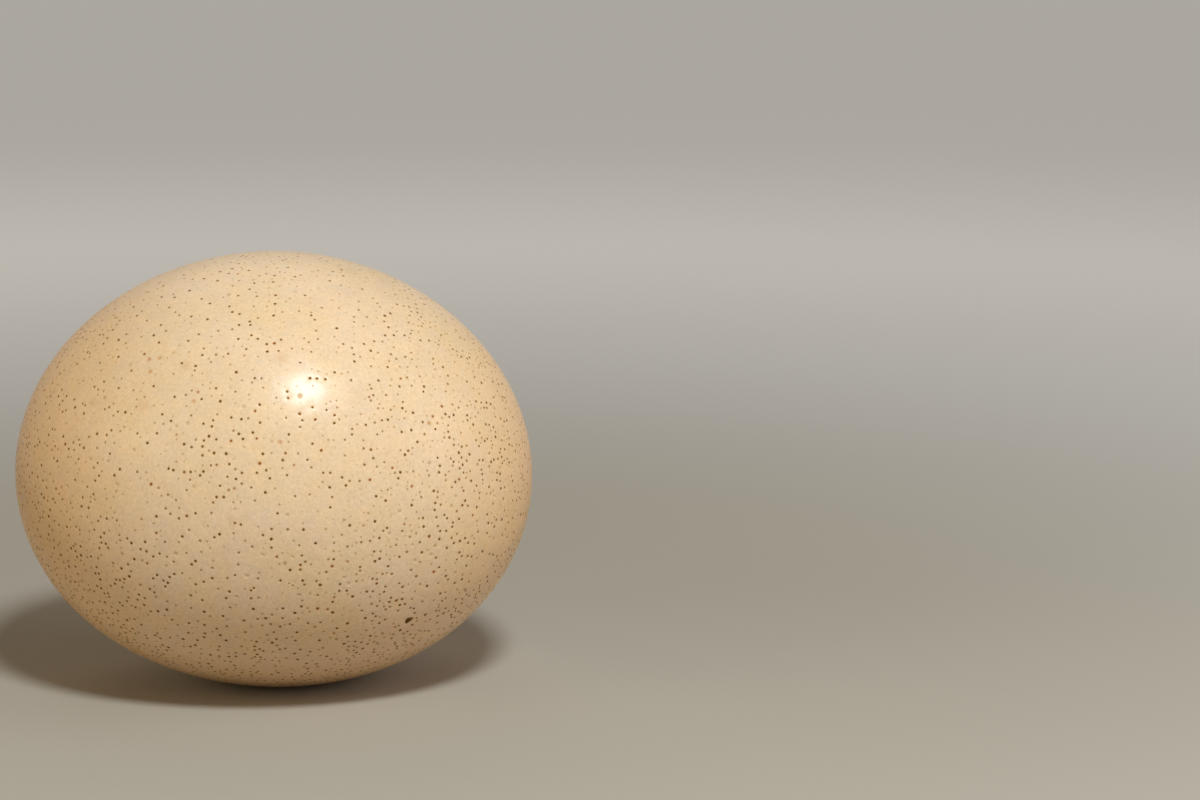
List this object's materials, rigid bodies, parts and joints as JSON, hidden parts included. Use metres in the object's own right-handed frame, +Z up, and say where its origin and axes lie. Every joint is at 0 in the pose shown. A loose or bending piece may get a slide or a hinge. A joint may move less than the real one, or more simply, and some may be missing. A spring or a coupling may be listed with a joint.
{
  "type": "ostrich egg",
  "caption": "Ostrich egg lying on its side: a broad, nearly even ovoid with a hard, softly glossy cream-tan shell pitted all over with fine brown pores.",
  "frame": {"origin": "on the small flat spot that the egg rests on, under the middle of its box", "axes": "+Z up; +X along the long axis, towards the end that lies slightly lower; +Y across the egg, away from the side that is shown"},
  "size_m": [0.15, 0.127, 0.1265],
  "materials": {
    "shell": "bird eggshell: cream-tan, hard and porcelain-like with a soft gloss, peppered with brown pore pits"
  },
  "bodies": {
    "root": {"egg": "shell"}
  },
  "joints": []
}
